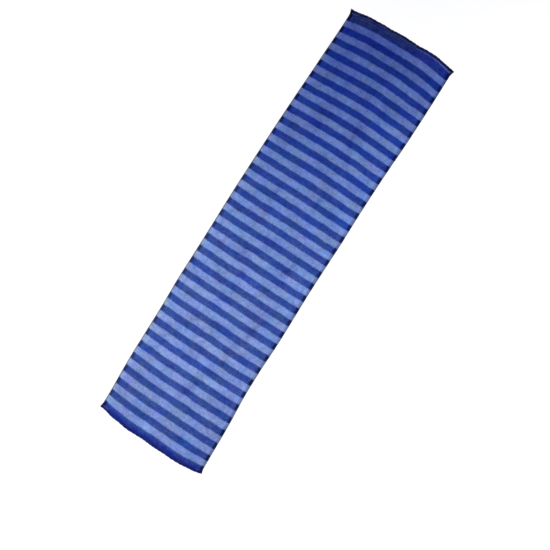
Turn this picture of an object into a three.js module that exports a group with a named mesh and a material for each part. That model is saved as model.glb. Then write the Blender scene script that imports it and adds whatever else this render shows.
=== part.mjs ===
import * as THREE from "three";

// A body wash towel of knitted nylon: one length of crosswise striped cloth with knitted-in
// side edges and a turned hem at each end, laid out flat with its face up.
// All sizes are in millimetres. X runs across the towel, +Y points to its head end, +Z is up,
// and its underside rests on Z = 0.

// Cut size
const LENGTH = 1200;
const HALF_WIDTH = 140;

// Cloth, hems and side edges
const CLOTH_THICKNESS = 1.5;
const HEM_THICKNESS = 2.8;
const HEM_DEPTH = 13;
const HEM_STEP = 4;
const SELVEDGE_THICKNESS = 2.2;
const SELVEDGE_WIDTH = 5.5;
const RIM_SHARE = 0.55;

// Corners, where the stiff end of a hem stands out past the side edge
const EAR_DEPTH = 17;
const EAR_REACH = 14;
const EARS = [
  { end: 1, side: -1, out: 4.5 },
  { end: 1, side: 1, out: 4.5 },
  { end: -1, side: -1, out: 2.5 },
  { end: -1, side: 1, out: 3.0 },
];

// Waves of the rims of both ends: each stands out, or in where negative, about a place across
const WAVE_DEPTH = 30;
const WAVES = [
  { end: 1, across: -92, out: 0.9, reach: 14 },
  { end: 1, across: -70, out: -1.5, reach: 12 },
  { end: 1, across: -34, out: -2.3, reach: 16 },
  { end: 1, across: 14, out: -1.6, reach: 10 },
  { end: 1, across: 42, out: -2.9, reach: 16 },
  { end: 1, across: 102, out: 1.5, reach: 22 },
  { end: -1, across: -108, out: 1.0, reach: 18 },
  { end: -1, across: -56, out: 0.8, reach: 10 },
  { end: -1, across: -26, out: -1.2, reach: 12 },
  { end: -1, across: 47, out: -1.9, reach: 13 },
  { end: -1, across: 122, out: 3.6, reach: 28 },
];

// How the towel lies. A row is one knitted row of the cloth: its place along the cloth, how far
// its ends are from the middle line, and how far it has crept towards the foot end at the left
// edge, the left quarter, the middle, the right quarter and the right edge.
const CREEP_PLACES = [-1, -0.5, 0, 0.5, 1];
const ROWS = [
  { along: -600, left: 131.0, right: 146.5, creep: [-17.0, -5.0, -2.5, 0.0, -12.0] },
  { along: -560, left: 131.5, right: 145.5, creep: [-9.5, -2.5, -0.5, 2.0, -0.5] },
  { along: -450, left: 136.5, right: 142.0, creep: [-7.0, -2.0, -0.5, 1.0, 0.5] },
  { along: -375, left: 137.5, right: 137.5, creep: [-5.5, -1.5, -0.5, 1.5, 1.0] },
  { along: -300, left: 138.5, right: 136.5, creep: [-4.0, -1.0, -0.5, 2.0, 1.0] },
  { along: -225, left: 141.0, right: 138.0, creep: [-2.5, -0.5, 0.0, 2.0, 1.5] },
  { along: -150, left: 141.5, right: 137.5, creep: [-1.0, 1.5, 2.0, 3.0, 3.5] },
  { along: -75, left: 142.0, right: 136.5, creep: [1.0, 2.5, 2.5, 3.5, 3.5] },
  { along: 0, left: 143.0, right: 137.0, creep: [1.5, 3.0, 2.0, 3.0, 3.5] },
  { along: 75, left: 143.5, right: 138.0, creep: [3.5, 4.0, 4.0, 5.0, 5.5] },
  { along: 150, left: 143.0, right: 137.5, creep: [5.5, 5.5, 4.0, 5.5, 6.5] },
  { along: 225, left: 142.5, right: 138.0, creep: [6.5, 4.5, 2.5, 4.5, 7.0] },
  { along: 300, left: 141.5, right: 139.5, creep: [8.0, 4.5, 2.0, 4.5, 7.0] },
  { along: 375, left: 140.0, right: 142.0, creep: [10.0, 5.5, 2.0, 4.0, 7.5] },
  { along: 450, left: 138.5, right: 143.0, creep: [11.5, 6.0, 1.5, 4.0, 8.0] },
  { along: 560, left: 136.5, right: 143.0, creep: [15.0, 4.0, 2.0, 1.5, 10.5] },
  { along: 600, left: 136.5, right: 142.5, creep: [15.0, 4.5, 1.0, 0.0, 9.5] },
];

// Soft lengthwise ridges. Each runs from one place along the cloth to another, at a distance
// across that may drift. It rises so high at its middle, over a short reach on its left side,
// and sinks over a longer reach on its right side.
const RIDGES = [
  { from: 575, to: 405, across: 24, drift: 8, rise: 1.6, left: 11, right: 40 },
  { from: 545, to: 460, across: 42, drift: 10, rise: 2.2, left: 9, right: 20 },
  { from: 560, to: 340, across: 116, drift: -2, rise: 1.0, left: 9, right: 14 },
  { from: 500, to: 350, across: 8, drift: 22, rise: 2.2, left: 10, right: 34 },
  { from: 500, to: 330, across: -82, drift: 18, rise: 1.3, left: 11, right: 28 },
  { from: 410, to: 220, across: 22, drift: 26, rise: 2.6, left: 10, right: 38 },
  { from: 375, to: 235, across: -62, drift: 32, rise: 1.6, left: 10, right: 28 },
  { from: 325, to: 185, across: 44, drift: 26, rise: 3.0, left: 10, right: 30 },
  { from: 320, to: 195, across: -108, drift: 8, rise: 1.8, left: 9, right: 26 },
  { from: 210, to: 60, across: 52, drift: -12, rise: 1.8, left: 9, right: 24 },
  { from: 200, to: 10, across: -58, drift: 10, rise: 1.6, left: 9, right: 24 },
  { from: 195, to: 25, across: 96, drift: -18, rise: 2.2, left: 9, right: 26 },
  { from: 165, to: 70, across: -8, drift: 0, rise: 1.4, left: 9, right: 24 },
  { from: 70, to: -45, across: -52, drift: 4, rise: 2.0, left: 9, right: 24 },
  { from: 50, to: -125, across: 84, drift: -18, rise: 2.0, left: 9, right: 26 },
  { from: -30, to: -105, across: -50, drift: 22, rise: 2.4, left: 9, right: 24 },
  { from: -75, to: -165, across: -28, drift: 16, rise: 2.6, left: 10, right: 26 },
  { from: -165, to: -300, across: 96, drift: -38, rise: 2.5, left: 10, right: 30 },
  { from: -230, to: -340, across: -56, drift: 4, rise: 2.2, left: 9, right: 22 },
  { from: -240, to: -350, across: 0, drift: -4, rise: 1.8, left: 9, right: 20 },
  { from: -270, to: -365, across: 60, drift: -2, rise: 2.2, left: 9, right: 24 },
  { from: -285, to: -435, across: 118, drift: 0, rise: 2.4, left: 10, right: 14 },
  { from: -320, to: -420, across: -84, drift: 0, rise: 1.8, left: 9, right: 24 },
  { from: -320, to: -440, across: -24, drift: 12, rise: 1.4, left: 9, right: 20 },
  { from: -335, to: -440, across: 42, drift: -8, rise: 2.0, left: 9, right: 22 },
  { from: -395, to: -505, across: 28, drift: -16, rise: 2.0, left: 9, right: 24 },
  { from: -475, to: -590, across: 66, drift: 4, rise: 2.2, left: 9, right: 24 },
  { from: -480, to: -600, across: -32, drift: 4, rise: 2.1, left: 9, right: 24 },
];
const RIDGE_WANDER = 2;
const RIDGE_WANDER_LENGTH = 110;
const FLAT_BELOW = 0.25;
const SIDE_REST = 6;
const SIDE_FADE = 14;
const END_REST = 16;
const END_FADE = 20;

// Grid of the two faces
const EDGE_COLUMNS = [0, 2.5, SELVEDGE_WIDTH];
const FIELD_COLUMNS = 31;
const END_ROWS = [0, 3, 8, HEM_DEPTH, HEM_DEPTH + HEM_STEP, 30];
const FIELD_ROWS = 42;

// Finish
const CLOTH_COLOUR = 0x4c66b4;
const CLOTH_ROUGHNESS = 0.8;

const { smoothstep } = THREE.MathUtils;

// The distances of grid lines from the middle: close steps at both edges, even ones between.
function gridLines(half, edgeSteps, fieldCells) {
  const inner = half - edgeSteps[edgeSteps.length - 1];
  const low = edgeSteps.map((step) => step - half);
  const field = [];
  for (let i = 1; i < fieldCells; i++) {
    field.push((2 * inner * i) / fieldCells - inner);
  }
  const high = edgeSteps.map((step) => half - step).reverse();
  return [...low, ...field, ...high];
}

// Height of the underside over the surface that the towel lies on. A ridge's height is a bell
// curve across it, with its own reach on either side of the crest, and fades out at both ends.
function liftAt(x, along, toSide, toEnd) {
  let lift = 0;
  RIDGES.forEach((ridge, index) => {
    const run = (ridge.from - along) / (ridge.from - ridge.to);
    const turn = (2 * Math.PI * along) / RIDGE_WANDER_LENGTH + 2 * index;
    const crest = ridge.across + ridge.drift * run + RIDGE_WANDER * Math.sin(turn);
    const reach = x < crest ? ridge.left : ridge.right;
    const fade = smoothstep(run, 0, 0.5) * (1 - smoothstep(run, 0.5, 1));
    lift += ridge.rise * fade * Math.exp(-(((x - crest) / reach) ** 2));
  });
  const side = smoothstep(toSide, SIDE_REST, SIDE_REST + SIDE_FADE);
  const end = smoothstep(toEnd, END_REST, END_REST + END_FADE);
  return Math.max(0, lift * side * end - FLAT_BELOW);
}

// Thickness of the cloth: single in the field, denser at the side edges, doubled in the hems.
function thicknessAt(toSide, toEnd) {
  const selvedge = 1 - smoothstep(toSide, SELVEDGE_WIDTH / 2, SELVEDGE_WIDTH);
  const hem = 1 - smoothstep(toEnd, HEM_DEPTH, HEM_DEPTH + HEM_STEP);
  const single = CLOTH_THICKNESS + (SELVEDGE_THICKNESS - CLOTH_THICKNESS) * selvedge;
  const full = single + (HEM_THICKNESS - single) * hem;
  return toSide === 0 || toEnd === 0 ? full * RIM_SHARE : full;
}

// Distance that a corner stands out sideways.
function earAt(side, end, toSide, toEnd) {
  const ear = EARS.find((corner) => corner.side === side && corner.end === end);
  const along = Math.max(0, 1 - toEnd / EAR_DEPTH) ** 1.5;
  return side * ear.out * along * (1 - smoothstep(toSide, 0, EAR_REACH));
}

// Distance that the rim of an end stands out lengthwise.
function waveAt(across, end, toEnd) {
  let out = 0;
  WAVES.filter((wave) => wave.end === end).forEach((wave) => {
    out += wave.out * Math.exp(-(((across - wave.across) / wave.reach) ** 2));
  });
  return end * out * (1 - smoothstep(toEnd, 0, WAVE_DEPTH));
}

// One closed sheet: a face grid, an underside grid below it, and a wall around the rim.
function sheetGeometry(faceGrid, undersideGrid) {
  const rows = faceGrid.length;
  const columns = faceGrid[0].length;
  const undersideStart = rows * columns;
  const indices = [];
  for (let j = 0; j < rows - 1; j++) {
    for (let i = 0; i < columns - 1; i++) {
      const a = j * columns + i;
      const b = a + 1;
      const c = b + columns;
      const d = a + columns;
      indices.push(a, b, c, a, c, d);
      indices.push(undersideStart + a, undersideStart + c, undersideStart + b);
      indices.push(undersideStart + a, undersideStart + d, undersideStart + c);
    }
  }
  const rim = [];
  for (let i = 0; i < columns - 1; i++) rim.push(i);
  for (let j = 0; j < rows - 1; j++) rim.push(j * columns + columns - 1);
  for (let i = columns - 1; i > 0; i--) rim.push((rows - 1) * columns + i);
  for (let j = rows - 1; j > 0; j--) rim.push(j * columns);
  rim.forEach((from, k) => {
    const to = rim[(k + 1) % rim.length];
    indices.push(from, undersideStart + from, undersideStart + to);
    indices.push(from, undersideStart + to, to);
  });
  const geometry = new THREE.BufferGeometry();
  const points = [...faceGrid.flat(), ...undersideGrid.flat()];
  geometry.setAttribute("position", new THREE.Float32BufferAttribute(points.flat(), 3));
  geometry.setIndex(indices);
  geometry.computeVertexNormals();
  return geometry;
}

// The whole towel, hems and side edges included, as it lies.
function towelGeometry() {
  const places = ROWS.map((row) => row.along);
  const values = ROWS.flatMap((row) => [row.left, row.right, ...row.creep]);
  const alongCloth = new THREE.CubicInterpolant(places, values, 2 + CREEP_PLACES.length);
  const face = [];
  const underside = [];
  for (const along of gridLines(LENGTH / 2, END_ROWS, FIELD_ROWS)) {
    const [left, right, ...creep] = alongCloth.evaluate(along);
    const acrossCloth = new THREE.CubicInterpolant(CREEP_PLACES, creep, 1);
    const end = along < 0 ? -1 : 1;
    const toEnd = LENGTH / 2 - Math.abs(along);
    const faceRow = [];
    const undersideRow = [];
    for (const across of gridLines(HALF_WIDTH, EDGE_COLUMNS, FIELD_COLUMNS)) {
      const share = across / HALF_WIDTH;
      const toSide = HALF_WIDTH - Math.abs(across);
      const flatX = (right - left) / 2 + (share * (right + left)) / 2;
      const x = flatX + earAt(share < 0 ? -1 : 1, end, toSide, toEnd);
      const y = along - acrossCloth.evaluate(share)[0] + waveAt(across, end, toEnd);
      const z = liftAt(x, along, toSide, toEnd);
      faceRow.push([x, y, z + thicknessAt(toSide, toEnd)]);
      undersideRow.push([x, y, z]);
    }
    face.push(faceRow);
    underside.push(undersideRow);
  }
  const geometry = sheetGeometry(face, underside);
  geometry.computeBoundingBox();
  const middle = geometry.boundingBox.getCenter(new THREE.Vector3());
  geometry.translate(-middle.x, -middle.y, 0);
  return geometry;
}

const cloth = new THREE.MeshStandardMaterial({
  color: CLOTH_COLOUR,
  roughness: CLOTH_ROUGHNESS,
  metalness: 0,
});

const towel = new THREE.Mesh(towelGeometry(), cloth);
towel.name = "towel";

const bodyWashTowel = new THREE.Group();
bodyWashTowel.add(towel);

export default bodyWashTowel;
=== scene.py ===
"""Looks of a knitted nylon body wash towel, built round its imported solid.

The towel is one thin striped sheet that lies flat with its face up. Its sides are knitted in and
whipped with edge yarn, and each end is turned over as a hem, held by a row of zigzag stitches and
overlocked along its rim. A place on the cloth is two distances from the middle of the flat cloth:
across, towards the right edge, and along, towards the head end.
"""

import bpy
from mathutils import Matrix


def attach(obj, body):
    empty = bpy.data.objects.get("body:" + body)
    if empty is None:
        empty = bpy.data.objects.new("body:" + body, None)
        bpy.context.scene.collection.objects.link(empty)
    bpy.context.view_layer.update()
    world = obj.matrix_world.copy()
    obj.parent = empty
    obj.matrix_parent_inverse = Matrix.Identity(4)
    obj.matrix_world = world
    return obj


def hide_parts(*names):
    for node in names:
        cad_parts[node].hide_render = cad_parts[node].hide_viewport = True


bl_info = {
    "name": "Body Wash Towel",
    "version": (1, 0, 0),
    "blender": (4, 5, 0),
    "location": "View3D > Sidebar > Towel",
    "description": "Makes a striped, knitted body wash towel as it lies",
    "category": "Object",
}

import math

import bpy
import numpy as np
from bpy.props import FloatProperty, FloatVectorProperty, IntProperty, PointerProperty
from bpy.types import Operator, Panel, PropertyGroup
from mathutils import Matrix, Vector

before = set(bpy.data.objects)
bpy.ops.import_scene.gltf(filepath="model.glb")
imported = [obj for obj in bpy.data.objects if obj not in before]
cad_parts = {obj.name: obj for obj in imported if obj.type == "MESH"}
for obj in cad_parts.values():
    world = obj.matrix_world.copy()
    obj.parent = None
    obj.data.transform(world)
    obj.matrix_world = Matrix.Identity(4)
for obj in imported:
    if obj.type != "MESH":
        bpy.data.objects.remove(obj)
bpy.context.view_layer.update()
CAD_NODE = "towel"


def table(columns, *rows):
    """A table's rows as dictionaries, by the names of its columns."""
    return [dict(zip(columns.split(), row)) for row in rows]


# Cut size of the cloth, in metres, as all lengths are but those of the next tables
CUT_WIDTH = 0.28
CUT_LENGTH = 1.2
CLOTH_MAP = "cloth"
RIGHT = (1, 0, 0)
AHEAD = (0, 1, 0)
UP = (0, 0, 1)

# From here to the stage, every length is in millimetres
MM = 0.001

# How the towel lies. A row is one knitted row of the cloth: its place along the cloth, how far
# its ends are from the middle line, and how far it has crept towards the foot end, at five shares
# of the way from the middle line to an edge.
CREEP_SHARES = (-1, -0.5, 0, 0.5, 1)
ROWS = table(
    "along left right creep",
    (-600, 131, 146.5, (-17, -5, -2.5, 0, -12)),
    (-560, 131.5, 145.5, (-9.5, -2.5, -0.5, 2, -0.5)),
    (-450, 136.5, 142, (-7, -2, -0.5, 1, 0.5)),
    (-375, 137.5, 137.5, (-5.5, -1.5, -0.5, 1.5, 1)),
    (-300, 138.5, 136.5, (-4, -1, -0.5, 2, 1)),
    (-225, 141, 138, (-2.5, -0.5, 0, 2, 1.5)),
    (-150, 141.5, 137.5, (-1, 1.5, 2, 3, 3.5)),
    (-75, 142, 136.5, (1, 2.5, 2.5, 3.5, 3.5)),
    (0, 143, 137, (1.5, 3, 2, 3, 3.5)),
    (75, 143.5, 138, (3.5, 4, 4, 5, 5.5)),
    (150, 143, 137.5, (5.5, 5.5, 4, 5.5, 6.5)),
    (225, 142.5, 138, (6.5, 4.5, 2.5, 4.5, 7)),
    (300, 141.5, 139.5, (8, 4.5, 2, 4.5, 7)),
    (375, 140, 142, (10, 5.5, 2, 4, 7.5)),
    (450, 138.5, 143, (11.5, 6, 1.5, 4, 8)),
    (560, 136.5, 143, (15, 4, 2, 1.5, 10.5)),
    (600, 136.5, 142.5, (15, 4.5, 1, 0, 9.5)),
)

# Corners, where the stiff end of a hem stands out past the side edge
CORNER_DEPTH = 17
CORNER_CURVE = 1.5
CORNERS = table(
    "end side out",
    (1, -1, 4.5),
    (1, 1, 4.5),
    (-1, -1, 2.5),
    (-1, 1, 3),
)

# Waves of the rims of both ends: each stands out, or in where negative, about a place across
WAVES = table(
    "end across out reach",
    (1, -92, 0.9, 14),
    (1, -70, -1.5, 12),
    (1, -34, -2.3, 16),
    (1, 14, -1.6, 10),
    (1, 42, -2.9, 16),
    (1, 102, 1.5, 22),
    (-1, -108, 1, 18),
    (-1, -56, 0.8, 10),
    (-1, -26, -1.2, 12),
    (-1, 47, -1.9, 13),
    (-1, 122, 3.6, 28),
)

# Main creases: soft lengthwise ridges. Each runs from one place along the cloth to another, at a
# distance across that drifts. It rises over a reach on its left and sinks over one on its right.
# Their crests wander sideways, and cloth that they lift by less than FLAT_BELOW lies flat.
RIDGES = table(
    "start stop across drift rise left right",
    (575, 405, 24, 8, 1.6, 11, 40),
    (545, 460, 42, 10, 2.2, 9, 20),
    (560, 340, 116, -2, 1, 9, 14),
    (500, 350, 8, 22, 2.2, 10, 34),
    (500, 330, -82, 18, 1.3, 11, 28),
    (410, 220, 22, 26, 2.6, 10, 38),
    (375, 235, -62, 32, 1.6, 10, 28),
    (325, 185, 44, 26, 3, 10, 30),
    (320, 195, -108, 8, 1.8, 9, 26),
    (210, 60, 52, -12, 1.8, 9, 24),
    (200, 10, -58, 10, 1.6, 9, 24),
    (195, 25, 96, -18, 2.2, 9, 26),
    (165, 70, -8, 0, 1.4, 9, 24),
    (70, -45, -52, 4, 2, 9, 24),
    (50, -125, 84, -18, 2, 9, 26),
    (-30, -105, -50, 22, 2.4, 9, 24),
    (-75, -165, -28, 16, 2.6, 10, 26),
    (-165, -300, 96, -38, 2.5, 10, 30),
    (-230, -340, -56, 4, 2.2, 9, 22),
    (-240, -350, 0, -4, 1.8, 9, 20),
    (-270, -365, 60, -2, 2.2, 9, 24),
    (-285, -435, 118, 0, 2.4, 10, 14),
    (-320, -420, -84, 0, 1.8, 9, 24),
    (-320, -440, -24, 12, 1.4, 9, 20),
    (-335, -440, 42, -8, 2, 9, 22),
    (-395, -505, 28, -16, 2, 9, 24),
    (-475, -590, 66, 4, 2.2, 9, 24),
    (-480, -600, -32, 4, 2.1, 9, 24),
)
RIDGE_WANDER = 2
RIDGE_WANDER_LENGTH = 110
FLAT_BELOW = 0.25

# Small crinkles of the crimped yarn, from soft bumps to fine creases: each kind has the half
# length and half width of a crinkle as ranges, its height, and the share that run lengthwise.
# Each is worked out as far as CRINKLE_REACH half lengths, where it is flat.
CRINKLES = table(
    "count long wide height lengthwise",
    (1700, (5, 14), (5, 11), 0.5, 0.5),
    (240, (12, 30), (3.6, 7), 0.2, 0.7),
    (1500, (4, 10), (2.4, 4), 0.11, 0.5),
)
CRINKLE_TURN = 0.25
CRINKLE_REACH = 2.5
CRINKLE_SEED = 4

# Distances of the sheet's grid lines from its side edges and from its ends, and cells between
SIDE_STEPS = (0, 0.15, 0.5, 1, 1.5, 2.2, 3.2, 4.3, 5.5)
FIELD_COLUMNS = 96
END_STEPS = (
    0, 0.15, 0.5, 1, 1.5, 2.4, 3.4, 4.6, 5.8, 7,
    8, 9, 10.2, 11.6, 13, 13.8, 14.6, 15.6, 17.4, 19.6,
)
FIELD_ROWS = 396

# Grid of places that the middle of the outline is worked out from
OUTLINE_COLUMNS = 57
OUTLINE_ROWS = 241

# Ranges of distance over which a shape, a colour or painted light and shade gives way to the next
RANGES = {
    # In from a side edge
    "corner": (0, 14),
    "crinkles": (1, 6),
    "side_ridges": (6, 20),
    "light_edge": (0.8, 3),
    "dark_edge": (5.5, 9.5),
    "edge_dye": (3, 9.5),
    "brim_start": (6.5, 9.5),
    "brim_end": (10.5, 18.5),
    # In from an end
    "rim_waves": (0, 6),
    "end_waves": (0, 30),
    "end_ridges": (16, 36),
    "head_rim": (4.2, 5.6),
    "head_band": (24, 32),
    "foot_rim": (4, 11.5),
    "foot_band": (11, 22),
    "foot_stripe": (22, 36),
    "foot_corner": (22, 40),
    # Along the cloth from its middle
    # Painted shade: the dark stripes deepen towards the head end
    "head_shade": (-220, 440),
    # Painted sheen: the light stripes turn greyer towards the foot end
    "foot_sheen": (-400, 100),
    "deep_edge": (50, 350),
    # Across the cloth from its middle line
    # Painted shade: the head end's band is darker at its left
    "hem_shade": (-40, 110),
    "overlock_corner": (104, 120),
    # Painted shade: the head hem stitches darken towards the left
    "head_stitch_shade": (-30, 120),
    "foot_stitches": (120, 128),
}

# Small waves of the overlocked rims, and of the line that hem stitches press into the cloth
RIM_WAVES = table(
    "height length sway sway_length",
    (0.35, 1.6, 3, 21),
    (0.4, 6.2, 0, 21),
)
PUCKER = {"height": 0.18, "length": 2.1, "sway": 2, "sway_length": 13}
PRESS_DEPTH = 0.27
PRESS_REACH = 2.2
HEM_FADE = 2
RIM_ROUND = 1.4

# Lift of the rims by the thread under them, in thicknesses of it, which fades past the stitches,
# and how much lower crinkles are in a hem
THREAD_LIFT = 0.9
END_LIFT_FADE = 2
SIDE_LIFT_FADE = 3
HEM_SMOOTHING = 0.5

# Threads: corners of their section, distance of the first stitch from a corner of the cloth,
# points and curve of a stitch, sway and lean, and places over the cloth in radii of the thread
THREAD_SIDES = 6
YARN_SIDES = 5
OVERLOCK_MARGIN = 1
ZIGZAG_MARGIN = 4
YARN_MARGIN = 6
WRAP_POINTS = 9
WRAP_CURVE = 0.8
ZIGZAG_POINTS = 7
LOOPER_POINTS = 8
LOOPER_SWAY = 0.5
YARN_LEAN = 0.9
WRAP_HEIGHT = 0.6
WRAP_OUT = 0.7
WRAP_OUT_CURVE = 6
LOOPER_HEIGHT = 1.3
LOOPER_SWING = 0.5
ZIGZAG_ARCH = 2.1

# Soft noises: size of a spot, how many times as long it is, detail, and layer of the noise
NOISE_ROWS = table(
    "name size stretch detail layer",
    ("sideways", 9, 1.3, 1, 0),
    ("ripple", 30, 1, 1, 3),
    ("jitter", 5.5, 1, 2, 5),
    ("specks", 3, 1, 2, 17),
    ("clouds", 10, 1.1, 2, 23),
    ("broad", 42, 1.2, 1, 31),
    ("streaks", 3.4, 9, 1, 29),
    ("pale", 12, 1, 3, 11),
    ("pale_broad", 40, 1.2, 1, 13),
    ("warm", 14, 1, 3, 51),
    ("warm_broad", 44, 1.2, 1, 53),
    ("fuzz", 0.7, 1, 2, 37),
    ("thread_specks", 1.6, 1, 1, 41),
    ("twist", 0.4, 1, 1, 43),
)
NOISES = {row["name"]: row for row in NOISE_ROWS}

# How far noises move the knit, and how far the last stripes are moved towards the foot end
WOBBLES = {"sideways": 3.2, "ripple": 3.6, "jitter": 3.4}
FOOT_SHIFT = 1.3

# How much noises change the cloth's tone, and how much more so in dark stripes and end bands
TONES = table(
    "noise all dark band",
    ("specks", 0.88, 0.75, 0.675),
    ("clouds", 0.78, 0, 0.3),
    ("broad", 0.58, 0, 0),
    ("streaks", 0.16, -0.16, 0),
)

# How much pale and warm spots change the cloth's red, green and blue, how many times that counts
# everywhere, and how many times more in dark stripes and end bands
TINTS = table(
    "pale warm all dark band",
    (0.8, 0.42, 1, 0.8, 1.7),
    (0.54, -0.28, 1, 0.4, 0.9),
    (-0.22, 0, 1, 0.8, 0),
)
PALE_BROAD = 0.7
WARM_BROAD = 0.6

# Relief of the knit: how hollow a course is, how far it bends, in courses, and what is added
COURSE_HOLLOW = 0.4
COURSE_BEND = 0.5
FUZZ_HEIGHT = 0.35
SPECK_HEIGHT = 0.6

# Tone between loops, painted shade, and how much paler their tops are, a painted highlight;
# how much darker the side edges are at dark stripes, there where they are deepest, and at light
# ones, partly a denser edge and partly painted shade; and how much paler the brim beside is, a
# painted highlight
GAP_SHADE = 0.86
LOOP_HIGHLIGHT = 0.26
DARK_EDGE = 0.48
DEEP_EDGE = 0.26
LIGHT_EDGE = 0.25
BRIM_HIGHLIGHT = 0.08

# Shares of a second colour: the head end's near-black overlock colour in the foot end's right corner,
# the head hem stitches' paler right colour in the left corner, and the edge yarn's where the left
# edge is paler
OVERLOCK_CORNER = 0.85
ZIGZAG_CORNER = 0.35
ZIGZAG_CORNER_START = -122
PALE_YARN = 0.13

# Stage, in metres and degrees. Both lamps are beyond the right of the foot end, and the soft edge
# of each beam falls over the cloth.
CAMERA_AIM = (0.0426, -0.082, 0)
LAMP_PLACE = (2.7, -2.3, 2.6)
LAMP_SIZE = 0.9
LAMPS = table(
    "name aim spread share",
    ("left_lamp", (-0.5, -0.116, 0), 22.8, 0.233),
    ("right_lamp", (1.096, -0.117, 0), 17.2, 0.767),
)
FLOOR_HALF = 40
WALL_HEIGHT = 2
FLOOR_GLOW = 0.94


# Settings

def distance(name, about, size):
    """A length property, in metres."""
    return FloatProperty(
        name=name, description=about, default=size, min=0, subtype="DISTANCE", unit="LENGTH"
    )


def angle(name, about, degrees):
    """An angle property, given in degrees."""
    radians = math.radians(degrees)
    return FloatProperty(name=name, description=about, default=radians, subtype="ANGLE")


def colour(name, about, value):
    """A linear colour property."""
    return FloatVectorProperty(
        name=name, description=about, default=value, size=3, min=0, max=1, subtype="COLOR"
    )


class ClothSettings(PropertyGroup):
    """Thicknesses and colours of the knitted cloth, some of them with painted shade and sheen."""

    thickness: distance("Thickness", "Single cloth", 0.0015)
    hem_thickness: distance("Hem thickness", "Turned cloth, without its threads", 0.0023)
    hem_depth: distance("Hem depth", "Width of the turned hem", 0.013)
    side_thickness: distance("Side thickness", "Side edge, without its yarn", 0.0018)
    side_width: distance("Side width", "Width of the side edge", 0.0055)
    wale: distance("Wale", "Width of a lengthwise column of loops", 0.0024)
    course: distance("Course", "Height of a crosswise row of loops", 0.0016)
    light: colour("Light blue", "Yarn of the light stripes", (0.147, 0.228, 0.534))
    # Painted sheen: a greyer light blue near the foot end
    light_foot_sheen: colour("Light blue, foot", "Light stripes near the foot end", (0.157, 0.224, 0.522))
    # Painted light: the deep blue at the foot holds a little painted sheen, and the head's deeper
    # blue is painted shade
    dark: colour("Deep blue", "Yarn of the dark stripes", (0.0275, 0.056, 0.262))
    dark_head_shaded: colour("Deep blue, head", "Dark stripes near the head end", (0.0153, 0.0458, 0.31))
    # Painted shade: the band at the left of the head end is darker than at its right
    hem_left_shaded: colour("Hem, left", "Left of the head end's band", (0.028, 0.05, 0.187))
    hem_right: colour("Hem, right", "Right of the head end's band", (0.019, 0.043, 0.301))
    hem_foot: colour("Hem, foot", "Band of the foot end", (0.0162, 0.0322, 0.262))
    # Painted shade: the head rim is near black, darker than the foot rim
    rim_head_shaded: colour("Rim, head", "Under the head end's overlock", (0.009, 0.015, 0.08))
    rim_foot: colour("Rim, foot", "Under the foot end's overlock", (0.0075, 0.017, 0.175))
    edge_left: colour("Edge, left", "Light stripes at the left edge", (0.2, 0.255, 0.455))
    edge_right: colour("Edge, right", "Light stripes at the right edge", (0.118, 0.16, 0.335))


class StripeSettings(PropertyGroup):
    """Crosswise stripes, counted from the head end."""

    head_band: distance("Head band", "Before the first light stripe", 0.0304)
    pitch: distance("Pitch", "One light and one dark stripe", 0.03522)
    light_width: distance("Light width", "Width of a light stripe", 0.0177)
    border: distance("Border", "Half of the soft border of a stripe", 0.0022)
    count: IntProperty(name="Count", description="Number of light stripes", default=33, min=1)


class ThreadSettings(PropertyGroup):
    """Sewing threads of the ends and edge yarn of the sides."""

    thickness: distance("Thread", "Diameter of thread and edge yarn", 0.0007)
    overlock_step: distance("Overlock step", "Distance between overlock stitches", 0.0017)
    overlock_reach: distance("Overlock reach", "Their reach from the rim", 0.0045)
    zigzag_inset: distance("Zigzag inset", "From the rim to the hem stitches", 0.0086)
    zigzag_width: distance("Zigzag width", "Width of their row", 0.0042)
    zigzag_step: distance("Zigzag step", "Distance between hem stitches", 0.0018)
    side_step: distance("Side step", "Distance between turns of yarn", 0.0018)
    side_reach_dark: distance("Side reach, dark", "Yarn's reach at a dark stripe", 0.0062)
    side_reach_light: distance("Side reach, light", "Yarn's reach at a light stripe", 0.002)
    # Painted shade: the head end's overlock is the navy thread darkened nearly to black
    overlock_head: colour("Overlock, head", "Thread of the head end's rim", (0.0115, 0.018, 0.075))
    overlock_foot: colour("Overlock, foot", "Thread of the foot end's rim", (0.013, 0.023, 0.18))
    # Painted shade: the head hem stitches at the left are a darker copy of the lavender thread
    zigzag_left_shaded: colour("Zigzag, left", "Head hem stitches at the left", (0.095, 0.115, 0.235))
    zigzag_right: colour("Zigzag, right", "Head hem stitches at the right", (0.28, 0.34, 0.64))
    zigzag_foot: colour("Zigzag, foot", "Foot hem stitches", (0.0115, 0.025, 0.23))
    zigzag_corner: colour("Zigzag, corner", "Foot hem stitches at corners", (0.115, 0.115, 0.42))
    side_light: colour("Side, light", "Yarn beside a light stripe", (0.11, 0.14, 0.26))
    side_dark: colour("Side, dark", "Yarn beside a dark stripe", (0.002, 0.008, 0.072))


class StageSettings(PropertyGroup):
    """Camera, lights and floor."""

    camera_distance: distance("Distance", "From the camera to its aim", 14.5)
    camera_rise: angle("Rise", "Angle of the view above the floor", 70.9)
    camera_roll: angle("Roll", "Turn of the picture", 32.41)
    lens: FloatProperty(name="Lens", description="Focal length", default=405.4, unit="CAMERA")
    lamp_power: FloatProperty(name="Power", description="Both lamps", default=43, unit="POWER")
    lamp: colour("Lamp colour", "Colour of both lamps", (1, 0.99, 0.69))
    fill: colour("Fill colour", "Soft light from all round", (0, 0.02, 0.336))
    floor: colour("Floor", "Colour of the floor", (0.14, 0.14, 0.14))


class TowelSettings(PropertyGroup):
    """All settings of the towel and its stage."""

    cloth: PointerProperty(type=ClothSettings)
    stripes: PointerProperty(type=StripeSettings)
    threads: PointerProperty(type=ThreadSettings)
    stage: PointerProperty(type=StageSettings)


# Shape of the cloth

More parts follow.
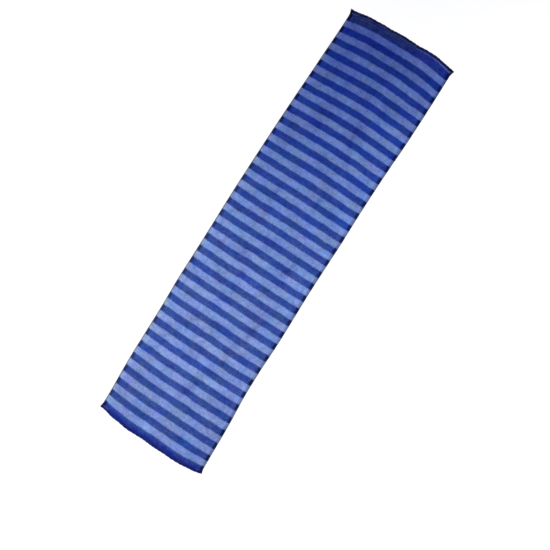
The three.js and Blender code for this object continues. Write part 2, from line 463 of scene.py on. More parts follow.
def ease(value, low, high):
    """0 up to low, 1 from high on, and 3 s squared less 2 s cubed between them, s being the share."""
    s = np.clip((value - low) / (high - low), 0, 1)
    return s * s * (3 - 2 * s)


def inwards(across, along):
    """Distances in from the nearer side edge and from the nearer end."""
    return CUT_WIDTH / 2 - np.abs(across), CUT_LENGTH / 2 - np.abs(along)


def past(value, name):
    """How far distances are past a range of the table, from 0 to 1."""
    low, high = RANGES[name]
    return ease(value, MM * low, MM * high)


def swaying_wave(across, wave):
    """height times sin(across / length + sway times sin(across / sway length))."""
    sway = wave["sway"] * np.sin(across / (MM * wave["sway_length"]))
    return MM * wave["height"] * np.sin(across / (MM * wave["length"]) + sway)


def row_weights(places, at):
    """How much each row of a table counts at each place. Between two rows a value follows the
    cubic whose slope at a row is the mean slope of the straight lines to its neighbours."""
    places = np.asarray(places, float)
    rows = np.eye(len(places))
    lines = np.diff(rows, axis=0) / np.diff(places)[:, None]
    slopes = np.vstack([lines[:1], (lines[1:] + lines[:-1]) / 2, lines[-1:]])
    before = np.clip(np.searchsorted(places, at, side="right") - 1, 0, len(places) - 2)
    gap = (places[before + 1] - places[before])[:, None]
    s = (at - places[before])[:, None] / gap
    return (
        (1 + 2 * s) * (1 - s) ** 2 * rows[before]
        + s * (1 - s) ** 2 * gap * slopes[before]
        + s**2 * (3 - 2 * s) * rows[before + 1]
        + s**2 * (s - 1) * gap * slopes[before + 1]
    )


def crinkle_height(across, along):
    """Sum of small crinkles: height times exp(-(u / long) squared - (v / wide) squared), with u
    and v measured from a crinkle's centre along and across its own direction."""
    draw = np.random.default_rng(CRINKLE_SEED)
    total = np.zeros_like(across)
    for kind in CRINKLES:
        count = kind["count"]
        centre_across = draw.uniform(-0.5, 0.5, count) * CUT_WIDTH
        centre_along = draw.uniform(-0.5, 0.5, count) * CUT_LENGTH
        long = MM * draw.uniform(*kind["long"], count)
        wide = MM * draw.uniform(*kind["wide"], count)
        height = MM * kind["height"] * draw.uniform(-1, 1, count)
        turn = draw.normal(0, CRINKLE_TURN, count)
        turn += np.where(draw.random(count) < kind["lengthwise"], math.pi / 2, 0)
        for k in range(count):
            reach = CRINKLE_REACH * long[k]
            near = np.abs(along - centre_along[k]) < reach
            near &= np.abs(across - centre_across[k]) < reach
            right = across[near] - centre_across[k]
            up = along[near] - centre_along[k]
            u = right * math.cos(turn[k]) + up * math.sin(turn[k])
            v = up * math.cos(turn[k]) - right * math.sin(turn[k])
            total[near] += height[k] * np.exp(-((u / long[k]) ** 2) - (v / wide[k]) ** 2)
    return total


class LaidCloth:
    """The towel's cloth as it lies, worked out for arrays of places on it."""

    def __init__(self, settings):
        self.cloth = settings.cloth
        self.threads = settings.threads
        self.row_places = MM * np.array([row["along"] for row in ROWS])
        self.row_values = MM * np.array([[row["left"], row["right"], *row["creep"]] for row in ROWS])
        columns = np.linspace(-CUT_WIDTH / 2, CUT_WIDTH / 2, OUTLINE_COLUMNS)
        rows = np.linspace(-CUT_LENGTH / 2, CUT_LENGTH / 2, OUTLINE_ROWS)
        across, along = np.meshgrid(columns, rows)
        x, y = self.plan(across.ravel(), along.ravel())
        self.middle_x = (x.min() + x.max()) / 2
        self.middle_y = (y.min() + y.max()) / 2

    def plan(self, across, along):
        """x = middle of the row's ends + share of the row's half width + what a corner stands
        out; y = along less the row's creep + what the rim stands out, in bell curves across.
        share is across over half of the cut width."""
        share = across / (CUT_WIDTH / 2)
        values = row_weights(self.row_places, along) @ self.row_values
        left, right, creep = values[:, 0], values[:, 1], values[:, 2:]
        to_side, to_end = inwards(across, along)
        x = (right - left) / 2 + share * (right + left) / 2
        for corner in CORNERS:
            here = (np.sign(across) == corner["side"]) & (np.sign(along) == corner["end"])
            reach = np.maximum(0, 1 - to_end / (MM * CORNER_DEPTH)) ** CORNER_CURVE
            reach = reach * (1 - past(to_side, "corner"))
            x = x + here * corner["side"] * MM * corner["out"] * reach
        y = along - (row_weights(CREEP_SHARES, share) * creep).sum(1)
        for wave in WAVES:
            bell = np.exp(-(((across / MM - wave["across"]) / wave["reach"]) ** 2))
            here = (np.sign(along) == wave["end"]) * (1 - past(to_end, "end_waves"))
            y = y + here * wave["end"] * MM * wave["out"] * bell
        return x, y

    def lift(self, x, along, to_side, to_end):
        """Height of the cloth over the floor: for each ridge rise times fade times
        exp(-(distance from its crest over reach) squared), with one reach on its left and another
        on its right; none at the edges, less a little, and never below 0."""
        total = np.zeros_like(x)
        for index, ridge in enumerate(RIDGES):
            run = (MM * ridge["start"] - along) / (MM * (ridge["start"] - ridge["stop"]))
            wander = np.sin(2 * np.pi * along / (MM * RIDGE_WANDER_LENGTH) + 2 * index)
            crest = MM * (ridge["across"] + ridge["drift"] * run + RIDGE_WANDER * wander)
            reach = MM * np.where(x < crest, ridge["left"], ridge["right"])
            fade = ease(run, 0, 0.5) * (1 - ease(run, 0.5, 1))
            total += MM * ridge["rise"] * fade * np.exp(-(((x - crest) / reach) ** 2))
        lifted = total * past(to_side, "side_ridges") * past(to_end, "end_ridges")
        return np.maximum(0, lifted - MM * FLAT_BELOW)

    def surfaces(self, across, along):
        """x and y from the middle of the outline, and heights of the underside and of the face.
        The cloth is thicker in its side edges and hems, pressed down by the hem stitches, rounded
        at its rims as a half ellipse, and raised there by the thread that passes under them."""
        cloth, threads = self.cloth, self.threads
        to_side, to_end = inwards(across, along)
        x, y = self.plan(across, along)
        low = self.lift(x, along, to_side, to_end)
        x = x - self.middle_x
        y = y - self.middle_y
        end_stop = threads.overlock_reach + MM * END_LIFT_FADE
        side_stop = threads.side_reach_dark + MM * SIDE_LIFT_FADE
        under_end = 1 - ease(to_end, threads.overlock_reach, end_stop)
        under_side = 1 - ease(to_side, threads.side_reach_dark, side_stop)
        low = low + THREAD_LIFT * threads.thickness * np.maximum(under_end, under_side)
        side = 1 - ease(to_side, cloth.side_width / 2, cloth.side_width)
        hem = 1 - ease(to_end, cloth.hem_depth, cloth.hem_depth + MM * HEM_FADE)
        full = cloth.thickness + (cloth.side_thickness - cloth.thickness) * side
        full = full + (cloth.hem_thickness - full) * hem
        pressed = np.exp(-(((to_end - threads.zigzag_inset) / (MM * PRESS_REACH)) ** 2))
        full = full - pressed * (MM * PRESS_DEPTH + swaying_wave(across, PUCKER))
        inside = past(to_side, "crinkles") * past(to_end, "crinkles")
        full = full + crinkle_height(across, along) * inside * (1 - HEM_SMOOTHING * hem)
        rounded = 1
        for depth in (to_side, to_end):
            short = 1 - np.clip(depth / (MM * RIM_ROUND), 0, 1)
            rounded = rounded * np.sqrt(1 - short**2)
        return x, y, low + full * (1 - rounded) / 2, low + full * (1 + rounded) / 2

    def rim_wave(self, across, along):
        """How far an end's rim stands out or in between overlock stitches."""
        _, to_end = inwards(across, along)
        wave = sum(swaying_wave(across, row) for row in RIM_WAVES)
        return np.sign(along) * wave * (1 - past(to_end, "rim_waves"))


def in_light_stripe(along, stripes):
    """Whether places along the cloth are in a light stripe."""
    step = (CUT_LENGTH / 2 - stripes.head_band - along) / stripes.pitch
    return (step > 0) & (step < stripes.count) & (step % 1 * stripes.pitch < stripes.light_width)


def map_place(across, along):
    """Place on the cloth's map, from 0 to 1 each way."""
    return np.stack([across / CUT_WIDTH + 0.5, along / CUT_LENGTH + 0.5], -1)


# Meshes

def new_object(name, data):
    """A new object in the scene."""
    made = bpy.data.objects.new(name, data)
    bpy.context.scene.collection.objects.link(made)
    return made


def make_piece(name, points, faces, places, material):
    """A smooth-shaded piece from points, groups of faces with as many corners each, and every
    point's place on the cloth's map. It rides on the root body and has the given material."""
    corners = np.concatenate([group.ravel() for group in faces])
    sizes = np.concatenate([np.full(len(group), group.shape[1]) for group in faces])
    mesh = bpy.data.meshes.new(name)
    mesh.vertices.add(len(points))
    mesh.vertices.foreach_set("co", points.astype(np.float32).ravel())
    mesh.loops.add(len(corners))
    mesh.loops.foreach_set("vertex_index", corners.astype(np.int32))
    mesh.polygons.add(len(sizes))
    mesh.polygons.foreach_set("loop_start", (np.cumsum(sizes) - sizes).astype(np.int32))
    layer = mesh.uv_layers.new(name=CLOTH_MAP)
    layer.uv.foreach_set("vector", places[corners].astype(np.float32).ravel())
    mesh.update(calc_edges=True)
    mesh.shade_smooth()
    if mesh.validate():
        raise RuntimeError(f"{name} has faces that had to be mended")
    mesh.materials.append(material)
    piece = new_object(name, mesh)
    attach(piece, "root")
    return piece


def grid_lines(half, steps, cells):
    """Close lines at both edges, by the steps, and even cells between, from -half to half."""
    steps = MM * np.array(steps)
    field = np.linspace(steps[-1] - half, half - steps[-1], cells + 1)[1:-1]
    return np.concatenate([steps - half, field, (half - steps)[::-1]])


def sheet_mesh(face_grid, underside_grid):
    """Points and faces of a closed sheet. Both grids have rows of equal length, and they share
    the points of their rim."""
    rows, columns = face_grid.shape[:2]
    face_ids = np.arange(rows * columns).reshape(rows, columns)
    underside_ids = face_ids.copy()
    inner = np.arange((rows - 2) * (columns - 2)).reshape(rows - 2, columns - 2)
    underside_ids[1:-1, 1:-1] = rows * columns + inner
    points = np.concatenate([face_grid.reshape(-1, 3), underside_grid[1:-1, 1:-1].reshape(-1, 3)])

    def cells(ids):
        return np.stack([ids[:-1, :-1], ids[:-1, 1:], ids[1:, 1:], ids[1:, :-1]], -1).reshape(-1, 4)

    return points, np.concatenate([cells(face_ids), cells(underside_ids)[:, ::-1]])


def thread_mesh(paths, radius, sides, beside):
    """Round threads along many paths with equal numbers of points. A ring stands at each point:
    point + radius (cos t n + sin t b), where n is square to the path and to the direction given
    by beside, and b to both. The ends are closed flat."""
    count, length = paths.shape[:2]
    ahead = np.gradient(paths, axis=1)
    ahead /= np.linalg.norm(ahead, axis=2, keepdims=True)
    n = np.cross(ahead, np.broadcast_to(beside, paths.shape))
    n /= np.linalg.norm(n, axis=2, keepdims=True)
    b = np.cross(ahead, n)
    t = 2 * np.pi * np.arange(sides) / sides
    around = np.cos(t)[:, None] * n[:, :, None, :] + np.sin(t)[:, None] * b[:, :, None, :]
    points = paths[:, :, None, :] + radius * around
    ids = np.arange(count * length * sides).reshape(count, length, sides)
    turned = np.roll(ids, -1, axis=2)
    tubes = np.stack([ids[:, :-1], turned[:, :-1], turned[:, 1:], ids[:, 1:]], -1).reshape(-1, 4)
    caps = np.concatenate([ids[:, 0, ::-1], ids[:, -1]])
    return points.reshape(-1, 3), [tubes, caps]


# Materials

class Number:
    """A number socket of a node tree. Sums, products and the like of it add Math nodes."""

    def __init__(self, graph, socket):
        self.graph = graph
        self.socket = socket

    def math(self, operation, *others):
        sockets = dict(enumerate((self, *others)))
        return self.graph.number("ShaderNodeMath", {"operation": operation}, sockets)

    def __add__(self, other):
        return self.math("ADD", other)

    def __sub__(self, other):
        return self.math("SUBTRACT", other)

    def __rsub__(self, other):
        return self.graph.number("ShaderNodeMath", {"operation": "SUBTRACT"}, {0: other, 1: self})

    def __mul__(self, other):
        return self.math("MULTIPLY", other)

    def __truediv__(self, other):
        return self.math("DIVIDE", other)

    def __lt__(self, other):
        return self.math("LESS_THAN", other)

    def __gt__(self, other):
        return self.math("GREATER_THAN", other)

    __radd__ = __add__
    __rmul__ = __mul__

    def fraction(self):
        """Its part after the point."""
        return self.math("FRACT")

    def size(self):
        """Without its sign."""
        return self.math("ABSOLUTE")

    def either(self, other):
        """The larger of the two."""
        return self.math("MAXIMUM", other)

    def eased(self, low, high):
        """0 at low and before, 1 at high and beyond, smooth between them."""
        settings = {"interpolation_type": "SMOOTHSTEP"}
        sockets = {"Value": self, "From Min": low, "From Max": high, "To Min": 0, "To Max": 1}
        return self.graph.number("ShaderNodeMapRange", settings, sockets)

    def past(self, name):
        """How far a distance is past a range of the table, from 0 to 1."""
        low, high = RANGES[name]
        return self.eased(MM * low, MM * high)

    def within(self, name):
        """How far a distance is short of a range's end, from 1 to 0."""
        return 1 - self.past(name)


def opaque(value):
    """A colour property as a colour with full alpha. A socket stays as it is."""
    return value if isinstance(value, bpy.types.NodeSocket) else (*value, 1)


class Graph:
    """The node tree of one material."""

    def __init__(self, name):
        self.material = bpy.data.materials.new(name)
        self.material.use_nodes = True
        self.tree = self.material.node_tree
        self.tree.nodes.clear()

    def node(self, kind, settings, sockets):
        """Adds a node of a kind: its settings first, then the values or links of its sockets."""
        made = self.tree.nodes.new(kind)
        for name, value in settings.items():
            setattr(made, name, value)
        for name, value in sockets.items():
            source = value.socket if isinstance(value, Number) else value
            if isinstance(source, bpy.types.NodeSocket):
                self.tree.links.new(source, made.inputs[name])
            else:
                made.inputs[name].default_value = source
        return made

    def number(self, kind, settings, sockets):
        return Number(self, self.node(kind, settings, sockets).outputs[0])

    def mix(self, share, first, second):
        """A colour that goes from the first to the second as share goes from 0 to 1."""
        sockets = {0: share, 6: opaque(first), 7: opaque(second)}
        return self.node("ShaderNodeMix", {"data_type": "RGBA"}, sockets).outputs[2]

    def filtered(self, colour_socket, red, green, blue):
        """A colour with each of its three parts times its own number."""
        parts = self.node("ShaderNodeCombineXYZ", {}, {"X": red, "Y": green, "Z": blue}).outputs[0]
        sockets = {0: colour_socket, 1: parts}
        return self.node("ShaderNodeVectorMath", {"operation": "MULTIPLY"}, sockets).outputs[0]

    def bump(self, strength, depth, height):
        """The shading normal of a height that stands for so many metres."""
        sockets = {"Strength": strength, "Distance": depth, "Height": height}
        return self.node("ShaderNodeBump", {}, sockets).outputs[0]

    def finish(self, sockets):
        """The material, whose surface shader has these sockets."""
        shader = self.node("ShaderNodeBsdfPrincipled", {}, sockets)
        self.node("ShaderNodeOutputMaterial", {}, {"Surface": shader.outputs[0]})
        return self.material


class ClothGraph(Graph):
    """The node tree of a material that follows the cloth's map."""

    def __init__(self, name):
        super().__init__(name)
        uv = self.node("ShaderNodeUVMap", {"uv_map": CLOTH_MAP}, {}).outputs["UV"]
        parts = self.node("ShaderNodeSeparateXYZ", {}, {"Vector": uv}).outputs
        self.across = (Number(self, parts["X"]) - 0.5) * CUT_WIDTH
        self.along = (Number(self, parts["Y"]) - 0.5) * CUT_LENGTH
        self.noises = {}

    def noise(self, name):
        """Soft noise about 0, by its row of the table."""
        if name not in self.noises:
            row = NOISES[name]
            x = self.across / (MM * row["size"])
            y = self.along / (MM * row["size"] * row["stretch"])
            sockets = {"X": x, "Y": y, "Z": row["layer"]}
            place = self.node("ShaderNodeCombineXYZ", {}, sockets).outputs[0]
            sockets = {"Vector": place, "Scale": 1, "Detail": row["detail"], "Roughness": 0.6}
            made = self.number("ShaderNodeTexNoise", {"noise_dimensions": "3D"}, sockets)
            self.noises[name] = made - 0.5
        return self.noises[name]


def stripe_share(along, stripes):
    """1 in a light stripe and 0 in a dark one, with soft borders."""
    first = CUT_LENGTH / 2 - stripes.head_band
    step = (first - along + stripes.border) / stripes.pitch
    inside = step.fraction() * stripes.pitch
    begins = inside.eased(0, 2 * stripes.border)
    ends = inside.eased(stripes.light_width, stripes.light_width + 2 * stripes.border)
    return begins * (1 - ends) * (step > 0) * (step < stripes.count)


def edge_depth(across, along):
    """1 where the side edge is nearly black at the dark stripes, and 0 where it is a paler blue,
    which is the left edge but for its head end and its foot corner."""
    to_foot = CUT_LENGTH / 2 + along
    return (across > 0).either(along.past("deep_edge")).either(to_foot.within("foot_corner"))


class KnitGraph(ClothGraph):
    """The node tree of the striped cloth, with shares of the stripes and bands at each place."""

    def __init__(self, cloth, stripes):
        super().__init__("striped_knit")
        self.cloth = cloth
        self.column = self.across + self.wobble("sideways")
        self.row = self.along + self.wobble("ripple") + self.wobble("jitter")
        self.to_side = CUT_WIDTH / 2 - self.across.size()
        self.to_head = CUT_LENGTH / 2 - self.row
        self.to_foot = CUT_LENGTH / 2 + self.row
        shift = MM * FOOT_SHIFT * self.to_foot.within("foot_stripe")
        self.light = stripe_share(self.row + shift, stripes)
        self.dark = 1 - self.light
        self.head_band = self.to_head.within("head_band") * self.dark
        self.foot_band = self.to_foot.within("foot_band") * self.dark
        self.band = self.head_band.either(self.foot_band)

    def wobble(self, name):
        """How far a noise moves the knit."""
        return MM * WOBBLES[name] * self.noise(name)

    def strength(self, row):
        """A row's number for all cloth, and what dark stripes and end bands add to it."""
        return row["all"] + row["dark"] * self.dark + row["band"] * self.band

    def loops(self):
        """Their height is (1 less w squared) times (1 less COURSE_HOLLOW times c squared), where
        w and c go from 0 at the middle of a wale and of a course to 1 at their edges. Courses
        bend towards the head end at the middle of a wale."""
        w = ((self.column / self.cloth.wale).fraction() * 2 - 1).size()
        c = ((self.row / self.cloth.course + COURSE_BEND * w).fraction() * 2 - 1).size()
        return (1 - w * w) * (1 - COURSE_HOLLOW * c * c)

    def dye_and_painted_light(self):
        """Two blues, greyer at the side edges, and deeper in the bands and rims of both ends. Painted
        shade deepens the head end, its rim and the left of its band, and painted sheen greys the
        light stripes towards the foot end.
        """
        cloth = self.cloth
        # Painted shade: the dark stripes turn deeper towards the head end
        yarn = self.mix(self.along.past("head_shade"), cloth.dark, cloth.dark_head_shaded)
        edge = self.mix(self.across > 0, cloth.edge_left, cloth.edge_right)
        # Painted shade: the head end's band darker at its left
        hem = self.mix(self.across.past("hem_shade"), cloth.hem_left_shaded, cloth.hem_right)
        layers = (
            # Painted sheen: the light stripes greyer towards the foot end
            (self.light, self.mix(self.along.past("foot_sheen"), cloth.light_foot_sheen, cloth.light)),
            (self.to_side.within("edge_dye") * self.light, edge),
            (self.head_band, hem),
            (self.foot_band, cloth.hem_foot),
            # Painted shade: the head rim near black
            (self.to_head.within("head_rim"), cloth.rim_head_shaded),
            (self.to_foot.within("foot_rim"), cloth.rim_foot),
        )
        for share, layer in layers:
            yarn = self.mix(share, yarn, layer)
        return yarn

    def tone(self, loops):
        """Mottled, with painted shade between loops and a painted highlight on their tops, a painted
        highlight beside the side edges, and darker in the edges, partly with painted shade.
        """
        tone = 1
        for row in TONES:
            tone = tone + self.strength(row) * self.noise(row["noise"])
        # Painted shade between the loops and a painted highlight on their tops
        tone = tone * (GAP_SHADE + LOOP_HIGHLIGHT * loops)
        # Darker side edges: partly a denser edge, partly painted shade of the curled edge
        depth = DARK_EDGE + DEEP_EDGE * edge_depth(self.across, self.along)
        dark_edge = depth * self.to_side.within("dark_edge") * self.dark
        light_edge = LIGHT_EDGE * self.to_side.within("light_edge") * self.light
        # Painted highlight: a paler brim of the light stripes beside the side edges
        brim_highlight = self.to_side.within("brim_end") - self.to_side.within("brim_start")
        return tone * (1 - dark_edge) * (1 - light_edge) * (1 + BRIM_HIGHLIGHT * brim_highlight * self.light)

    def tints(self, tone):
        """The tone for red, green and blue, which pale and warm spots change."""
        pale = self.noise("pale") + PALE_BROAD * self.noise("pale_broad")
        warm = self.noise("warm") + WARM_BROAD * self.noise("warm_broad")
        return [
            tone * (1 + self.strength(row) * (row["pale"] * pale + row["warm"] * warm))
            for row in TINTS
        ]


def cloth_material(cloth, stripes):
    """Crimped nylon knit: loops in lengthwise wales and crosswise courses, striped in two uneven
    blues, with a faint gloss."""
    graph = KnitGraph(cloth, stripes)
    loops = graph.loops()
    specks = graph.noise("specks")
    height = loops + FUZZ_HEIGHT * graph.noise("fuzz") + SPECK_HEIGHT * specks
    return graph.finish(
        {
            "Base Color": graph.filtered(graph.dye_and_painted_light(), *graph.tints(graph.tone(loops))),
            "Roughness": 0.85 + 0.2 * specks,
            "Specular IOR Level": 0.04,
            "Normal": graph.bump(0.55, 0.00055, height),
        }
    )


def thread_material(name, first, second, share):
    """Twisted thread, a little glossier than the cloth. share, a function of the place on the
    cloth, says how much of the second colour is in the first."""
    graph = ClothGraph(name)
    specks = graph.noise("thread_specks")
    tone = 1 + 0.9 * specks
    dye_and_painted_light = graph.mix(share(graph.across, graph.along), first, second)
    return graph.finish(
        {
            "Base Color": graph.filtered(dye_and_painted_light, tone, tone, tone),
            "Roughness": 0.65 + 0.3 * specks,
            "Specular IOR Level": 0.06,
            "Normal": graph.bump(0.5, 0.0001, graph.noise("twist")),
        }
    )


# Pieces

class TOWEL_OT_cloth(Operator):
    """The striped sheet on the solid's folds, with its hems, side edges, creases and crinkles"""

    bl_idname = "towel.cloth"
    bl_label = "Cloth"

    def execute(self, context):
        settings = context.scene.wash_towel
        laid = LaidCloth(settings)
        columns = grid_lines(CUT_WIDTH / 2, SIDE_STEPS, FIELD_COLUMNS)
        rows = grid_lines(CUT_LENGTH / 2, END_STEPS, FIELD_ROWS)
        across, along = (grid.ravel() for grid in np.meshgrid(columns, rows))
        x, y, low, high = laid.surfaces(across, along)
        y = y + laid.rim_wave(across, along)
        shape = (len(rows), len(columns), 3)
        face_grid = np.stack([x, y, high], -1).reshape(shape)
        underside_grid = np.stack([x, y, low], -1).reshape(shape)
        points, faces = sheet_mesh(face_grid, underside_grid)
        places = map_place(across, along)
        inner = places.reshape(*shape[:2], 2)[1:-1, 1:-1].reshape(-1, 2)
        material = cloth_material(settings.cloth, settings.stripes)
        piece = make_piece("towel_cloth", points, [faces], np.concatenate([places, inner]), material)
        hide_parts(CAD_NODE)
        return {"FINISHED"}


def wrap_paths(laid, across, along, inward, reach, lean):
    """Paths of stitches round an edge. A stitch runs over the face to the rim and back below, by
    a half circle's cosine, and leans sideways from its inner end to the rim. inward is the way
    in from the rim, (across, along), and reach may differ by stitch."""
    radius = laid.threads.thickness / 2
    turn = np.linspace(0, np.pi, WRAP_POINTS)
    depth = np.reshape(reach, (-1, 1)) * np.abs(np.cos(turn)) ** WRAP_CURVE
    sideways = lean * (1 - np.abs(np.cos(turn)))
    a = across[:, None] + inward[0] * depth + inward[1] * sideways
    b = along[:, None] + inward[1] * depth + inward[0] * sideways
    x, y, low, high = laid.surfaces(a.ravel(), b.ravel())
    y = y + laid.rim_wave(a.ravel(), b.ravel())
    over = np.tile(np.sign(np.round(np.cos(turn), 3)), len(across))
    z = (low + high) / 2 + over * ((high - low) / 2 + WRAP_HEIGHT * radius)
    z = np.maximum(z, radius)
    outward = WRAP_OUT * radius * np.tile(np.sin(turn) ** WRAP_OUT_CURVE, len(across))
    x = x - inward[0] * outward
    y = y - inward[1] * outward
    return np.stack([x, y, z], -1).reshape(*a.shape, 3), a, b


def make_thread(name, laid, paths, a, b, beside, material, sides=THREAD_SIDES):
    """A piece of round threads along paths over the places a, b on the cloth."""
    points, faces = thread_mesh(paths, laid.threads.thickness / 2, sides, beside)
    places = np.repeat(map_place(a.ravel(), b.ravel()), sides, axis=0)
    make_piece(name, points, faces, places, material)


class TOWEL_OT_overlock(Operator):
    """Overlock stitches round the rim of each end, with the looper thread along their inner ends"""

    bl_idname = "towel.overlock"
    bl_label = "Overlock"

    def execute(self, context):
        laid = LaidCloth(context.scene.wash_towel)
        threads = laid.threads

        def head_share(across, along):
            return (along > 0).either(OVERLOCK_CORNER * across.past("overlock_corner"))

        # The head end's colour is the navy thread with painted shade of the head rim
        thread_colours = (threads.overlock_foot, threads.overlock_head)
        material = thread_material("overlock_thread", *thread_colours, head_share)
        half = CUT_WIDTH / 2 - MM * OVERLOCK_MARGIN
        count = round(2 * half / threads.overlock_step)
        for name, end in (("head", 1), ("foot", -1)):
            across = np.linspace(-half, half, count)
            along = np.full(count, end * CUT_LENGTH / 2)
            lean = threads.overlock_step / 2
            paths, a, b = wrap_paths(laid, across, along, (0, -end), threads.overlock_reach, lean)
            make_thread(f"{name}_overlock", laid, paths, a, b, RIGHT, material)

            a = np.linspace(-half, half, LOOPER_POINTS * count)
            phase = np.linspace(0, 2 * np.pi * count, len(a))
            sway = MM * LOOPER_SWAY * np.cos(phase)
            b = end * (CUT_LENGTH / 2 - threads.overlock_reach + sway)
            x, y, _, high = laid.surfaces(a, b)
            z = high + threads.thickness / 2 * (LOOPER_HEIGHT + LOOPER_SWING * np.sin(phase))
            paths = np.stack([x, y, z], -1)[None]
            make_thread(f"{name}_looper", laid, paths, a, b, UP, material)
        return {"FINISHED"}


class TOWEL_OT_hem_stitches(Operator):
    """Rows of zigzag stitches that hold the hems"""

    bl_idname = "towel.hem_stitches"
    bl_label = "Hem stitches"

    def execute(self, context):
        laid = LaidCloth(context.scene.wash_towel)
        threads = laid.threads

        def head_share(across, along):
            corner = across < MM * ZIGZAG_CORNER_START
            return across.past("head_stitch_shade").either(ZIGZAG_CORNER * corner)

        def foot_share(across, along):
            return across.size().past("foot_stitches")

        # The darker left stitches are painted shade of the head end's left corner
        head_colours = (threads.zigzag_left_shaded, threads.zigzag_right)
        foot_dyes = (threads.zigzag_foot, threads.zigzag_corner)
        head_material = thread_material("head_hem_thread", *head_colours, head_share)
        foot_material = thread_material("foot_hem_thread", *foot_dyes, foot_share)
        half = CUT_WIDTH / 2 - MM * ZIGZAG_MARGIN
        count = round(2 * half / threads.zigzag_step)
        share = np.linspace(0, 1, ZIGZAG_POINTS)
        a = 2 * half / count * (np.arange(count)[:, None] + share) - half
        swing = np.where(np.arange(count) % 2, 1, -1)[:, None] * (2 * share - 1)
        inset = threads.zigzag_inset - swing * threads.zigzag_width / 2
        arch = np.tile(np.sin(np.pi * share) ** 0.5, count)
        for name, end, material in (("head", 1, head_material), ("foot", -1, foot_material)):
            b = end * (CUT_LENGTH / 2 - inset)
            x, y, _, high = laid.surfaces(a.ravel(), b.ravel())
            z = high + threads.thickness / 2 * (ZIGZAG_ARCH * arch - 1)
            paths = np.stack([x, y, z], -1).reshape(*a.shape, 3)
            make_thread(f"{name}_hem_stitches", laid, paths, a, b, UP, material)
        return {"FINISHED"}


class TOWEL_OT_side_yarn(Operator):
    """Turns of edge yarn whipped round the knitted-in side edges"""

    bl_idname = "towel.side_yarn"
    bl_label = "Side yarn"

    def execute(self, context):
        settings = context.scene.wash_towel
        laid = LaidCloth(settings)
        threads = laid.threads

        def light_share(across, along):
            pale = 1 - edge_depth(across, along)
            return stripe_share(along, settings.stripes).either(PALE_YARN * pale)

        thread_colours = (threads.side_dark, threads.side_light)
        material = thread_material("side_yarn", *thread_colours, light_share)
        half = CUT_LENGTH / 2 - MM * YARN_MARGIN
        along = np.linspace(-half, half, round(2 * half / threads.side_step))
        light = in_light_stripe(along, settings.stripes)
        reach = np.where(light, threads.side_reach_light, threads.side_reach_dark)
        for name, side in (("left", -1), ("right", 1)):
            across = np.full(len(along), side * CUT_WIDTH / 2)
            paths, a, b = wrap_paths(laid, across, along, (-side, 0), reach, MM * YARN_LEAN)
            make_thread(f"{name}_side_yarn", laid, paths, a, b, AHEAD, material, YARN_SIDES)
        return {"FINISHED"}


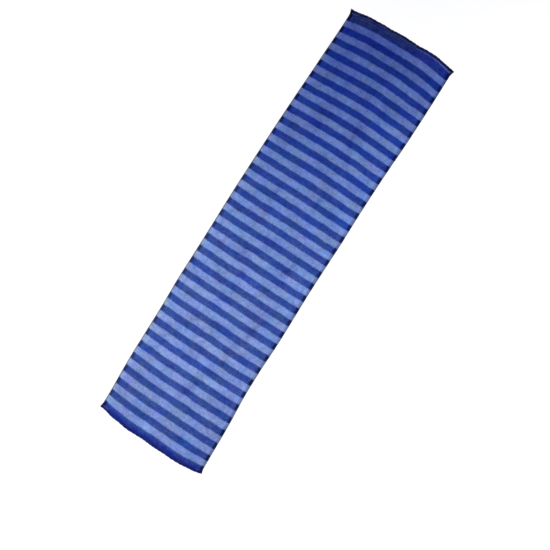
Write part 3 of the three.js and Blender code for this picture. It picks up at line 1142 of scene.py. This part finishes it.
class TOWEL_OT_stage(Operator):
    """Pale floor, two soft lamps beyond the foot end, soft fill, and the camera"""

    bl_idname = "towel.stage"
    bl_label = "Stage"

    def execute(self, context):
        stage = context.scene.wash_towel.stage
        self.add_camera(context, stage)
        self.add_lights(context, stage)
        self.add_floor(stage)
        context.scene.view_settings.view_transform = "Standard"
        return {"FINISHED"}

    def add_camera(self, context, stage):
        """The camera looks at a point on the floor, from the foot end, and is rolled."""
        camera = new_object("camera", bpy.data.cameras.new("camera"))
        camera.data.lens = stage.lens
        tilt = Matrix.Rotation(math.pi / 2 - stage.camera_rise, 4, "X")
        roll = Matrix.Rotation(stage.camera_roll, 4, "Z")
        back = Matrix.Translation((0, 0, stage.camera_distance))
        camera.matrix_world = Matrix.Translation(CAMERA_AIM) @ tilt @ roll @ back
        context.scene.camera = camera

    def add_lights(self, context, stage):
        """Round lamps by their table, and an even fill from all round."""
        place = Vector(LAMP_PLACE)
        for row in LAMPS:
            light = bpy.data.lights.new(row["name"], "AREA")
            light.shape = "DISK"
            light.size = LAMP_SIZE
            light.spread = math.radians(row["spread"])
            light.energy = stage.lamp_power * row["share"]
            light.color = stage.lamp
            lamp = new_object(row["name"], light)
            turn = (Vector(row["aim"]) - place).to_track_quat("-Z", "Y").to_matrix()
            lamp.matrix_world = Matrix.Translation(place) @ turn.to_4x4()
        world = bpy.data.worlds.new("fill")
        world.use_nodes = True
        world.node_tree.nodes["Background"].inputs["Color"].default_value = opaque(stage.fill)
        context.scene.world = world

    def add_floor(self, stage):
        """A large square that glows like a light table, with a low wall round it."""
        half = FLOOR_HALF
        mesh = bpy.data.meshes.new("floor")
        corners = [(-half, -half), (half, -half), (half, half), (-half, half)]
        points = [(x, y, z) for z in (0, WALL_HEIGHT) for x, y in corners]
        walls = [(0, 4, 5, 1), (1, 5, 6, 2), (2, 6, 7, 3), (3, 7, 4, 0)]
        mesh.from_pydata(points, [], [(0, 1, 2, 3), *walls])
        sockets = {
            "Base Color": opaque(stage.floor),
            "Roughness": 0.9,
            "Emission Color": (1, 1, 1, 1),
            "Emission Strength": FLOOR_GLOW,
        }
        mesh.materials.append(Graph("pale_floor").finish(sockets))
        new_object("floor", mesh)


class TOWEL_OT_declare(Operator):
    """An empty step that changes nothing"""

    bl_idname = "towel.declare"
    bl_label = "Declare"

    def execute(self, context):
        return {"FINISHED"}


OPERATORS = (
    TOWEL_OT_stage,
    TOWEL_OT_cloth,
    TOWEL_OT_overlock,
    TOWEL_OT_hem_stitches,
    TOWEL_OT_side_yarn,
    TOWEL_OT_declare,
)


class TOWEL_PT_panel(Panel):
    """Buttons that make the towel and its stage"""

    bl_idname = "TOWEL_PT_panel"
    bl_label = "Body Wash Towel"
    bl_space_type = "VIEW_3D"
    bl_region_type = "UI"
    bl_category = "Towel"

    def draw(self, context):
        settings = context.scene.wash_towel
        for group in (settings.cloth, settings.stripes, settings.threads, settings.stage):
            box = self.layout.box()
            for name in type(group).__annotations__:
                box.prop(group, name)
        for operator in OPERATORS:
            self.layout.operator(operator.bl_idname)


SETTINGS = (ClothSettings, StripeSettings, ThreadSettings, StageSettings, TowelSettings)
CLASSES = (*SETTINGS, *OPERATORS, TOWEL_PT_panel)


def register():
    for made in CLASSES:
        bpy.utils.register_class(made)
    bpy.types.Scene.wash_towel = PointerProperty(type=TowelSettings)


def unregister():
    del bpy.types.Scene.wash_towel
    for made in reversed(CLASSES):
        bpy.utils.unregister_class(made)


def main():
    """Makes the whole towel on its stage."""
    register()
    bpy.ops.towel.stage()
    bpy.ops.towel.cloth()
    bpy.ops.towel.overlock()
    bpy.ops.towel.hem_stitches()
    bpy.ops.towel.side_yarn()
    bpy.ops.towel.declare()


if __name__ == "__main__":
    main()
